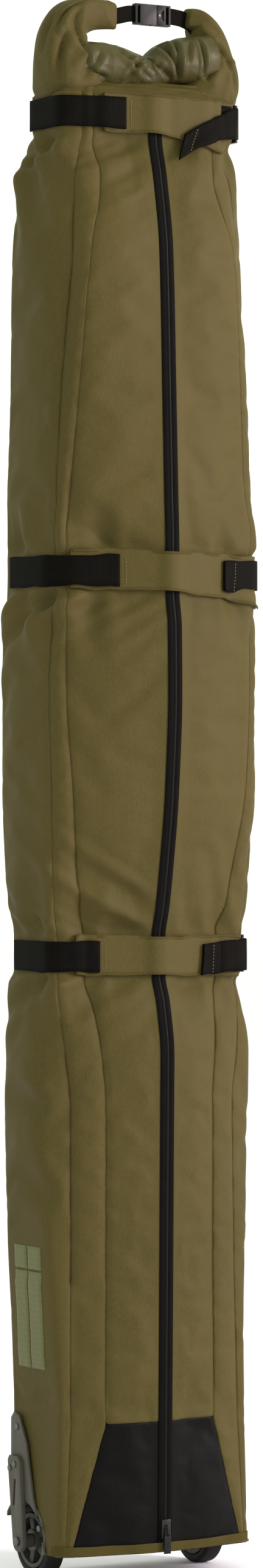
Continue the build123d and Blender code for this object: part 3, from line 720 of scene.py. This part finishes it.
lay("back_cloth", body[:, a:b + 1], replaces=("back_panel",), wells=True, **WALL)
print("panels done")

# %% [markdown]
# ## Straps
# Each compression strap is webbing sewn to the left side that runs under a cloth cover over the
# zipper, to a ladder lock at the right, and its tail is laid back over the front. Webbing bends only
# along its length, so each band is a grid laid on the cloth with a steady lift and given a thickness.

# %% Bands laid on the cloth
def band(name, s0, s1, low, high, lift, step=0.006, rows=7, **kind):
    """A band from s0 to s1 round the bag; low, high and lift are numbers or functions of 0..1."""
    count = max(4, int(abs(s1 - s0) / step))
    t = np.linspace(0, 1, count)
    value = [np.array([f(x) for x in t]) if callable(f) else np.full(count, f) for f in (low, high, lift)]
    across = np.linspace(0, 1, rows)[:, None]
    z = value[0] * (1 - across) + value[1] * across
    points = around(s0 + (s1 - s0) * t[None, :] + 0 * across, z, value[2][None, :] + 0 * across)
    mean = points.mean(0, keepdims=True)
    stiff = points.copy()
    stiff[..., :2] = mean[..., :2] * 0.7 + points[..., :2] * 0.3
    even_out(stiff, 3, axis=1)
    lay(name, stiff, **kind)


def stitch_row(name, points, ride="bag", long=0.0028):
    """A row of short stitches along a line of points."""
    key = travelled(points)
    spots = np.arange(long, key[-1] - long, long * 1.45)
    bm = bmesh.new()
    for at in spots:
        here, there = (Vector([np.interp(at + d, key, points[:, k]) for k in range(3)])
                       for d in (-long / 2, long / 2))
        turn = (there - here).to_track_quat("X", "Z").to_matrix().to_4x4()
        size = Matrix.Diagonal((long / 2, 0.00042, 0.00042, 1))
        bmesh.ops.create_icosphere(bm, subdivisions=1, radius=1,
                                   matrix=Matrix.Translation((here + there) / 2) @ turn @ size)
    keep_mesh(name, bm, ride, material=stitch_thread)


HALF_WIDE = 0.019            # half the webbing's width
MEET = {"upper": 0.042, "middle": 0.06825, "lower": 0.0798}   # left of the zipper, where webbing ends
UNDER = {"upper": 0.030, "middle": 0.062, "lower": 0.032}     # how far a cover runs under its webbing
DROOP = {"upper": 0.020, "middle": 0.020, "lower": 0.003}     # how far its right end hangs lower
for name, level in STRAPS.items():
    ends = {side: {p: corner_at(side, p, level) for p in ("front", "gusset")} for side in ("left", "right")}
    meet = -MEET[name]
    cover_left = meet - UNDER[name]
    cover_right = ends["right"]["gusset"] - 0.004

    def rise(t, a=cover_left, b=cover_right):
        s = a + (b - a) * t
        return 0.0036 + 0.0045 * np.exp(-(s / 0.014) ** 4)

    def lower(t, z=level - 0.0232, fall=DROOP[name]):
        return z - fall * max(0.0, (t - 0.35) / 0.65) ** 1.6

    def upper(t, z=level + 0.0236, left=0.003):
        return z + left * (1 - t) ** 2
    band(f"{name}_cover_cloth", cover_left, cover_right, lower, upper, rise, step=0.0025, rows=17,
         replaces=(f"{name}_strap_cover",), offset=0, **WALL | {"thick": 0.0026})
    for edge, low, high in (("low", lower, lambda t: lower(t) + 0.0030),
                            ("high", lambda t: upper(t) - 0.0030, upper)):
        band(f"{name}_cover_hem_{edge}", cover_left, cover_right, low, high,
             lambda t: rise(t) + 0.0012, step=0.0025, rows=5, **BINDING)

    def on_top(t, a=ends["left"]["gusset"] - 0.095, b=meet, c=cover_left):
        s = a + (b - a) * t
        return 0.0028 + 0.0036 * np.clip((s - c + 0.010) / 0.012, 0, 1)
    band(f"{name}_webbing_left", ends["left"]["gusset"] - 0.095, meet, level - HALF_WIDE, level + HALF_WIDE,
         on_top, step=0.003, replaces=(f"{name}_strap",), **WEB)
    band(f"{name}_webbing_right", cover_right - 0.012, ends["right"]["gusset"] + 0.018, level - HALF_WIDE,
         level + HALF_WIDE, 0.0030, step=0.003, **WEB)
    column = np.linspace(level - 0.017, level + 0.017, 12)
    for k, s in enumerate((meet + 0.008, cover_right - 0.034)[:1 if name == "upper" else 2]):
        t = (s - cover_left) / (cover_right - cover_left)
        stitch_row(f"{name}_cover_stitch_{k}", around(np.full(12, s), column, rise(t) + 0.0017))
print("straps done")

# %% [markdown]
# ## Zipper
# The zipper is two woven tapes with a coil of plastic between them. The coil is one long ridge whose
# surface rises and falls once for each turn of the coil.

# %% Tapes and coil
def zip_front(z):
    """How far forward the zipper stands at heights z, in metres."""
    return through(RINGS[:, 0], RINGS[:, 1], np.maximum(z / MM, 38.0)) * MM


rows_z = np.arange(0.038, 1.839, 0.006)
for side, sign in (("left", -1), ("right", 1)):
    x = np.linspace(0.0012, 0.0098, 6)
    ridge = 0.0006 + 0.0012 * np.sin(np.linspace(0.2, pi, 6))
    points = np.zeros((len(rows_z), 6, 3))
    points[..., 0] = sign * x[None, :]
    points[..., 1] = zip_front(rows_z)[:, None] - ridge[None, :]
    points[..., 2] = rows_z[:, None]
    if sign < 0:
        points = points[:, ::-1]
    lay(f"{side}_tape", points, slot="zipper", replaces=(f"{side}_zip_tape",),
        material=zip_tape_black, thick=0.0016, subdivide=1, turn=True)
coil_z = np.arange(0.050, 1.831, 0.00075)
turn_angle = np.linspace(0, pi, 7)
tooth = np.where(np.arange(len(coil_z)) % 2 == 0, 1.0, 0.72)
points = np.zeros((len(coil_z), 7, 3))
points[..., 0] = -0.0024 * np.cos(turn_angle)[None, :] * (0.9 + 0.1 * tooth[:, None])
points[..., 1] = zip_front(coil_z)[:, None] - 0.0026 * np.sin(turn_angle)[None, :] * tooth[:, None]
points[..., 2] = coil_z[:, None]
lay("zip_coil_teeth", points, slot="zipper", replaces=("zip_coil",), material=coil_nylon)
print("zipper done")

# %% [markdown]
# ## The rolled top
# The collar is pressed flat, rolled down over itself, and its two ends are pulled up and buckled over
# the roll. The roll shows the coated inside of the cloth. It is a fat tube on a sagging line, and it
# gets its look from sharp creases that run into points where the cloth is bunched.

# %% Tubes with creases
def creased(u, v, lines):
    """Depth of a set of sharp creases, given as (u0, v0, u1, v1, depth, width) in metres."""
    depth = np.zeros(np.broadcast(u, v).shape)
    for u0, v0, u1, v1, deep, wide in lines:
        du, dv = u1 - u0, v1 - v0
        t = np.clip(((u - u0) * du + (v - v0) * dv) / (du * du + dv * dv), 0, 1)
        far = np.hypot(u - u0 - t * du, v - v0 - t * dv)
        ends = np.sin(np.clip(0.15 + 0.85 * t, 0, 1) * pi) ** 0.6
        ridge = 0.55 * np.exp(-((far - 2.2 * wide) / (1.2 * wide)) ** 2)
        depth += deep * ends * (np.exp(-far / wide) - ridge)
    return depth


def tube(stations, along, round_count, lines=(), ripple=0.0, ripple_size=(0.02, 0.05), square=1.0):
    """Rows of points round a bent tube. Each station is x, y, z, half size across, half depth."""
    stations = np.array(stations, float) * MM
    key = travelled(stations[:, :3])
    t = np.linspace(0, key[-1], along)
    line = np.stack([through(key, stations[:, k], t) for k in range(5)], 1)
    even_out(line, 6)
    ahead = np.gradient(line[:, :3], axis=0)
    ahead /= np.linalg.norm(ahead, axis=1, keepdims=True)
    depth_way = np.array([0, -1.0, 0]) - ahead * (ahead @ np.array([0, -1.0, 0]))[:, None]
    depth_way /= np.linalg.norm(depth_way, axis=1, keepdims=True)
    across_way = np.cross(depth_way, ahead)
    angle = np.linspace(-pi, pi, round_count)
    u = t[:, None] + 0 * angle[None, :]
    v = line[:, 3][:, None] * angle[None, :]
    grow = -creased(u, v, lines)
    if ripple:
        # the two ends of each ring have to meet
        blend = np.sin((angle[None, :] + pi) / 2) ** 2
        sharp = 1 - np.abs(wave_noise(u, v, *ripple_size, 18)) ** 0.8
        grow = grow + ripple * (sharp - 0.5) * blend
    sine, cosine = (np.sign(w) * np.abs(w) ** square for w in (np.sin(angle), np.cos(angle)))
    grow = grow * np.clip(u / 0.025, 0, 1)                    # plain where the tube starts
    across = (line[:, 3][:, None] + grow) * sine
    depth = (line[:, 4][:, None] + grow) * cosine
    return (line[:, None, :3] + across[..., None] * across_way[:, None]
            + depth[..., None] * depth_way[:, None])


def spiral_end(edge, turns, inward=0.9):
    """Close a tube's end with a rolled-up face: its edge repeated smaller, with ridges."""
    centre = edge.mean(0)
    rings = [edge]
    for t in np.arange(1, turns * 3 + 1) / (turns * 3):
        ridge = np.array([-0.004 * np.sin(t * turns * pi) ** 2, 0, 0])
        rings.append(centre + (edge - centre) * (1 - t * inward) + ridge)
    return np.array(rings)


# %% The roll
ROLL = [(-96, -1, 1887, 15, 14), (-84, -5, 1882, 23, 21), (-62, -8, 1879, 26, 25), (-30, -9, 1875, 25, 25),
        (-6, -9, 1872, 21, 23), (8, -9, 1870, 18, 21), (30, -8, 1882, 22, 22), (56, -7, 1890, 26, 25),
        (82, -6, 1895, 27, 25), (103, -5, 1900, 26, 24)]
CREASES = [  # along the roll from its left end, round it from its front, up positive
    (0.080, 0.004, 0.055, 0.020, 0.0040, 0.0030), (0.080, 0.004, 0.095, 0.020, 0.0045, 0.0030),
    (0.080, 0.004, 0.070, -0.022, 0.0040, 0.0035), (0.080, 0.004, 0.105, -0.008, 0.0035, 0.0030),
    (0.118, 0.006, 0.105, 0.024, 0.0040, 0.0028), (0.118, 0.006, 0.128, -0.018, 0.0045, 0.0030),
    (0.138, 0.030, 0.144, -0.024, 0.0080, 0.0032), (0.152, 0.026, 0.143, -0.010, 0.0060, 0.0026),
    (0.022, -0.016, 0.010, 0.012, 0.0045, 0.0032), (0.022, -0.016, 0.045, -0.020, 0.0045, 0.0030),
    (0.022, -0.016, 0.032, 0.014, 0.0035, 0.0030), (0.160, 0.000, 0.172, 0.028, 0.0035, 0.0030),
    (0.182, -0.020, 0.186, 0.030, 0.0040, 0.0022), (0.060, -0.030, 0.066, -0.050, 0.004, 0.003),
    (0.100, -0.030, 0.096, -0.050, 0.004, 0.003), (0.050, 0.040, 0.060, 0.060, 0.004, 0.004),
    (0.120, 0.044, 0.130, 0.064, 0.004, 0.004), (0.170, 0.050, 0.160, 0.070, 0.004, 0.004),
]
roll = tube(ROLL, 130, 80, CREASES, 0.0018, (0.030, 0.022))
lay("roll_cloth", roll, slot="coated_fabric", replaces=("rolled_closure",), material=coated_cloth,
    thick=0.0015, subdivide=1)
for name, ring_points in (("roll_face_right", roll[-1]), ("roll_face_left", roll[0][::-1])):
    lay(name, spiral_end(ring_points, 3)[:, ::-1], slot="coated_fabric",
        material=coated_cloth, thick=0.0012, subdivide=1)

# %% Shoulders that wrap the roll's ends, and the tabs that carry the loop
LEFT_WRAP = [(-86, 12, 1838, 37, 36), (-90, 12, 1858, 41, 42), (-98, 12, 1884, 32, 36),
             (-100, 11, 1906, 28, 29), (-94, 9, 1926, 26, 24), (-78, 8, 1938, 22, 19),
             (-54, 7, 1943, 18, 12), (-28, 6, 1943, 15, 5)]
RIGHT_WRAP = [(90, 12, 1838, 35, 36), (108, 13, 1860, 41, 38), (114, 14, 1886, 32, 32),
              (113, 13, 1910, 25, 27), (104, 10, 1934, 20, 22), (91, 8, 1947, 15, 15),
              (78, 6, 1949, 11, 7)]
WRAP_CREASES = {
    "left": [(0.030, 0.030, 0.085, 0.004, 0.0060, 0.0040), (0.045, -0.020, 0.110, 0.010, 0.0060, 0.0035),
             (0.020, 0.000, 0.060, -0.030, 0.0050, 0.0040), (0.075, 0.020, 0.130, 0.016, 0.0045, 0.0030),
             (0.010, -0.045, 0.055, -0.028, 0.0050, 0.0035), (0.060, 0.040, 0.090, 0.030, 0.004, 0.003)],
    "right": [(0.025, 0.020, 0.080, 0.000, 0.0060, 0.0035), (0.035, -0.020, 0.095, 0.006, 0.0055, 0.0035),
              (0.010, 0.036, 0.060, 0.028, 0.0045, 0.0030), (0.070, -0.014, 0.120, 0.004, 0.0040, 0.003)],
}
for side, stations in (("left", LEFT_WRAP), ("right", RIGHT_WRAP)):
    wrap = tube(stations, 84, 64, WRAP_CREASES[side], 0.0050, (0.045, 0.018), 0.8)
    centre = wrap[-1].mean(0)
    wrap = np.concatenate([wrap] + [centre[None] + (wrap[-1:] - centre) * k for k in (0.92, 0.5, 0.04)])
    lay(f"{side}_shoulder_wrap", wrap, replaces=(f"{side}_roll_end",), **CLOTH)

# %% Collar between the shoulders, behind and under the roll
collar_rings = []
edge = body[-1]
rear = np.clip((edge[:, 1] - 0.005) / 0.045, 0, 1)           # 1 along the back, 0 along the front
for t in np.linspace(0, 1, 13):
    ring_points = edge.copy()
    ring_points[:, 0] *= 1 - 0.16 * t
    front_y = 0.012 + (edge[:, 1] - 0.012) * (1 - 0.42 * t)
    rear_y = edge[:, 1] + (0.006 - edge[:, 1]) * t ** 1.5
    ring_points[:, 1] = front_y * (1 - rear) + rear_y * rear
    ring_points[:, 2] = 1.836 + t * (0.024 + 0.030 * rear)
    ring_points += (0.0030 * t * wave_noise(np.cumsum(np.ones(len(edge))) * 0.004, 0 * rear + t * 0.02,
                                            0.03, 0.06))[:, None] * np.array([0, 1, 0])
    collar_rings.append(ring_points)
collar_points = np.array(collar_rings)
collar_points = np.concatenate([collar_points, collar_points[:, :1]], 1)
lay("collar_cloth", collar_points, replaces=("collar",), **CLOTH)
print("roll top done")

# %% [markdown]
# ## Hard parts
# Moulded and turned parts keep the frame's own shapes, with softened edges: a copy is merged, its flat
# faces are joined, and a bevel rounds what is left. Light on those rounded edges is what makes a part
# look moulded.

# %% Softened copies
def soften(name, width, material):
    """A copy of a frame's node with rounded edges."""
    node = frame["nodes"][name]
    bm = bmesh.new()
    bm.from_mesh(node.data)
    bmesh.ops.remove_doubles(bm, verts=bm.verts, dist=2e-5)
    bmesh.ops.dissolve_limit(bm, angle_limit=radians(3), verts=bm.verts, edges=bm.edges)
    sharp = [e for e in bm.edges if len(e.link_faces) == 2 and e.calc_face_angle(0) > radians(28)]
    bmesh.ops.bevel(bm, geom=sharp, offset=width, offset_type="OFFSET", segments=2, profile=0.5,
                    affect="EDGES", clamp_overlap=True, material=-1)
    bmesh.ops.triangulate(bm, faces=[f for f in bm.faces if len(f.verts) > 4])
    piece = keep_mesh(f"{name}_soft", bm, node["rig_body"], replaces=(name,), material=material)
    piece.data.set_sharp_from_angle(angle=radians(40))


HARD = {  # node ending: rounding in metres, finish
    "wheel_housing": (0.0008, housing_plastic), "wheel_strut": (0.0012, housing_plastic),
    "housing_fasteners": (0.0005, zinc), "wheel_core": (0.0008, wheel_plastic),
    "tyre": (0.0006, tyre_rubber), "wheel_bearings": (0.0003, zinc), "axle_bolt": (0.0005, zinc),
    "ladder_lock": (0.0006, buckle_plastic), "zip_slider": (0.0005, dark_metal),
    "zip_pull": (0.0004, buckle_plastic), "zip_stops": (0.0004, dark_metal),
    "buckle_female": (0.0009, buckle_plastic), "buckle_male": (0.0009, buckle_plastic),
    "upper_prong": (0.0004, buckle_plastic), "lower_prong": (0.0004, buckle_plastic),
    "base_panel": (0.0008, olive_cloth), "base_board": (0.0004, board_plastic),
    "back_board": (0.0004, board_plastic),
}
for name in sorted(frame["nodes"]):
    for ending, (width, finish) in HARD.items():
        if name.endswith(ending):
            soften(name, width, finish)
print("hard parts softened")

# %% [markdown]
# ## Tails, anchors and the loop
# A tail comes out from under its lock, turns round the middle bar and goes back over the front. It
# is stiff across and limp along, so its path is drawn once, in plan, and repeated over its width.

# %% Ribbons along a path
def ribbon(name, path, **kind):
    """Upright webbing along a path of points."""
    path = np.array(path, float)
    key = travelled(path)
    t = np.linspace(0, key[-1], max(8, int(key[-1] / 0.0025)))
    line = np.stack([np.interp(t, key, path[:, k]) for k in range(3)], 1)
    even_out(line, 1)
    rows = np.linspace(-HALF_WIDE, HALF_WIDE, 7)[:, None, None]
    lay(name, line[None] + rows * np.array([0, 0, 1]), **WEB, **kind)


def side_s(sign, y, z):
    """Distance round the bag to the place on a side where the cloth stands at y."""
    row = int(np.argmin(np.abs(heights - z / MM)))
    half_ = slice(middle + 1, None) if sign > 0 else slice(middle, None, -1)
    ys, ss = loop_grid[row, half_, 1], loop_s[row, half_]
    first = np.argmax(ys > y)
    return float(np.interp(y, [ys[first - 1], ys[first]], [ss[first - 1], ss[first]]))


DROP = {"upper": 0.040, "middle": 0.004, "lower": 0.006}      # how far a tail's end hangs lower
PAST = {"upper": 0.052, "middle": 0.056, "lower": 0.030}      # how far it runs past the front's seam
for name, level in STRAPS.items():
    lock_low, lock_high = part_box(f"{name}_ladder_lock")
    bar_x = (lock_low.x + lock_high.x) / 2
    bar_y = lock_high.y - 0.004 - 0.012
    flat_x = bar_x - 0.0044
    loop_path = [(flat_x + 0.0014, bar_y - 0.016), (flat_x + 0.0014, bar_y - 0.001)]
    loop_path += [(bar_x - 0.0030 * cos(a), bar_y + 0.0030 * sin(a)) for a in np.linspace(0.2, pi - 0.2, 7)]
    loop_path += [(bar_x + 0.0034, bar_y - 0.002), (bar_x + 0.0040, bar_y - 0.013)]
    start_s = side_s(1, bar_y - 0.022, level)
    end_s = corner_at("right", "front", level) - PAST[name]
    t = np.linspace(0, 1, 60)
    rows = np.linspace(-HALF_WIDE, HALF_WIDE, 9)[:, None]
    lean = DROP[name] / max(start_s - end_s, 0.05) * 0.8 * np.clip(t * 3, 0, 1)
    run_s = start_s + (end_s - start_s) * t + rows * lean
    run_z = level - DROP[name] * t ** 1.3 + rows
    run_points = around(run_s, run_z, 0.0084 - 0.0010 * t)
    for _ in range(6):
        even_out(run_points, 1, axis=1)
        run_points[1:-1, :, :2] = (run_points[:-2, :, :2] + run_points[2:, :, :2]) / 2
    loop_points = np.array([[(x, y, level + row) for x, y in loop_path] for row in rows[:, 0]])
    points = np.concatenate([loop_points, run_points[:, 3:]], 1)
    lay(f"{name}_tail_ribbon", points, replaces=(f"{name}_strap_tail",), ride=f"{name}_lock", **WEB)
    step = run_points - around(run_s, run_z, 0.0)
    step /= np.linalg.norm(step, axis=-1, keepdims=True)
    lay(f"{name}_tail_hem", (run_points + step * 0.0018)[:, -16:], ride=f"{name}_lock",
        **WEB | {"thick": THIN})
    stitch_row(f"{name}_tail_stitch", (run_points + step * 0.0027)[:, -13], ride=f"{name}_lock")
    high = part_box(f"{name}_strap_anchor")[1]
    anchor_y = lock_high.y - 0.004
    anchor_path = [(flat_x + 0.001, high.y), (flat_x + 0.001, anchor_y + 0.003)]
    anchor_path += [(bar_x + 0.0034 * cos(a), anchor_y + 0.0034 * sin(a))
                    for a in np.linspace(pi * 0.9, 2.15 * pi, 12)]
    anchor_path += [(flat_x + 0.0034, anchor_y + 0.009), (flat_x + 0.0032, high.y)]
    ribbon(f"{name}_anchor_ribbon", [(x, y, level) for x, y in anchor_path],
           replaces=(f"{name}_strap_anchor",))

ROLL_Y = 0.006
for side, path in {
    "left": [(-0.044, 1.9420), (-0.026, 1.9425), (-0.006, 1.9480), (0.006, 1.9480), (0.0085, 1.9480)],
    "right": [(0.0475, 1.9480), (0.056, 1.9485), (0.070, 1.9470), (0.084, 1.9420), (0.092, 1.934)],
}.items():
    points = [(x, ROLL_Y, z) for x, z in path]
    key = np.linspace(0, 1, len(points))
    fine = np.linspace(0, 1, 30)
    line = np.stack([np.interp(fine, key, [p[k] for p in points]) for k in range(3)], 1)
    even_out(line, 3)
    ahead = np.gradient(line, axis=0)
    ahead /= np.linalg.norm(ahead, axis=1, keepdims=True)
    across = np.stack([-ahead[:, 2], 0 * ahead[:, 0], ahead[:, 0]], 1)
    rows = np.linspace(-0.010, 0.010, 7)[:, None, None]
    lay(f"{side}_loop_ribbon", line[None] + rows * across[None], replaces=(f"{side}_loop_webbing",),
        subdivide=1, **WEB)
print("tails and loop done")

# %% [markdown]
# ## Grip patch and base binding
# The patch low on the left side is soft rubber in four bare blocks. The base is bound with a strip
# of the bag's own cloth, turned up over the lower edge.

# %% Patch
patch_mid = side_s(-1, 0.015, 0.338)
blocks = [(f"patch_{place}_{level}", *across, *up)
          for place, across in (("front", (0.0008, 0.033)), ("back", (-0.033, -0.0008)))
          for level, up in (("top", (0.3848, 0.414)), ("low", (0.262, 0.3832)))]
for name, s0, s1, z0, z1 in blocks:
    s = np.linspace(patch_mid + s0, patch_mid + s1, 10)[None, :]
    z = np.linspace(z0, z1, max(8, int((z1 - z0) / 0.003)))[:, None]
    u = np.linspace(-1, 1, s.shape[1])[None, :]
    v = np.linspace(-1, 1, z.shape[0])[:, None]
    edge = np.minimum((1 - np.abs(u)) * (s1 - s0) / 2, (1 - np.abs(v)) * (z1 - z0) / 2)
    lift = 0.0004 + 0.0016 * np.clip(edge / 0.002, 0, 1)
    lay(name, around(s + 0 * z, z + 0 * s, lift), slot="patch",
        replaces=("side_patch",) if name == "patch_front_low" else (), material=patch_rubber,
        thick=0.001, subdivide=1)

# %% Binding
band("base_binding", corner_at("left", "gusset", 0.04) - 0.02, corner_at("right", "gusset", 0.04) + 0.02,
     0.0358, 0.0475, 0.0022, step=0.005, rows=5, subdivide=1, **BINDING)

# %% The walls are foam between two cloths, and the roll and its shoulders are packed folds; they are only listed here with a fill, which nothing uses
PADDED = {"roll_cloth": 0.8, "left_shoulder_wrap": 0.6, "right_shoulder_wrap": 0.6, "back_cloth": 0.9}
for side in ("left", "right"):
    PADDED |= {f"{side}_{panel}_cloth": 0.7 for panel in ("front", "gusset", "side_panel", "toe")}
for name, fill in PADDED.items():
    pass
print(len(PADDED), "padded pieces")
